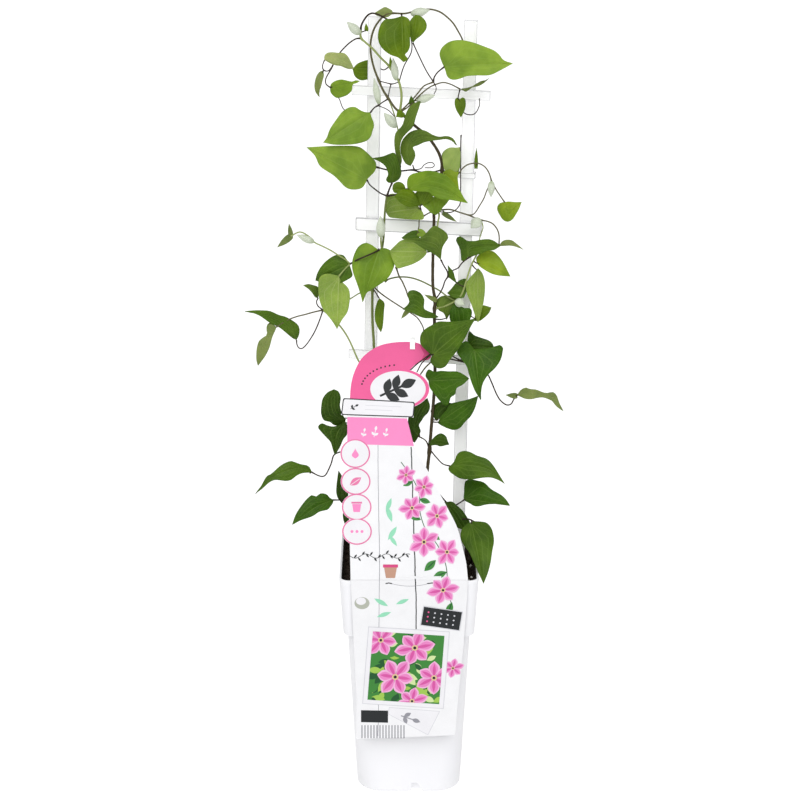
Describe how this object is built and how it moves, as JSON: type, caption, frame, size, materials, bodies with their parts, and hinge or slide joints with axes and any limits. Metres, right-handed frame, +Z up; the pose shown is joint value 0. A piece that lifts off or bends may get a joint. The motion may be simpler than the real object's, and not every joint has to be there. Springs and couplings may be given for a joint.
{
  "type": "potted climbing clematis on a ladder trellis",
  "caption": "Young climbing clematis in a tall square white pot of dark soil, trained up a white ladder trellis, with a plain plant label leaning on the front.",
  "frame": {"origin": "the middle of the pot's foot, on the surface that it stands on", "axes": "+Z up along the trellis, -Y towards the front of the pot, where the label hangs, +X to the right seen from the front"},
  "size_m": [0.3145, 0.1406, 0.7988],
  "materials": {
    "pot_white": "smooth white polypropylene, satin gloss",
    "soil_dark": "crumbly dark potting compost with white perlite",
    "trellis_white": "moulded white plastic, satin",
    "label_card": "coated printed card, white and pink, no lettering",
    "leaf_green": "smooth green leaf with paler netted veins",
    "leaf_pale": "pale matt leaf underside with raised veins",
    "stem_brown": "thin woody stems and stalks, dark brown to olive green",
    "bud_silver": "silvery downy bud"
  },
  "bodies": {
    "root": {"pot": "pot_white", "soil": "soil_dark", "rail_left": "trellis_white", "rail_right": "trellis_white", "crossbar_1": "trellis_white", "crossbar_2": "trellis_white", "crossbar_3": "trellis_white", "label": "label_card", "label_hook": "trellis_white", "vine_right": "leaf_green", "vine_left": "leaf_green"}
  },
  "joints": []
}
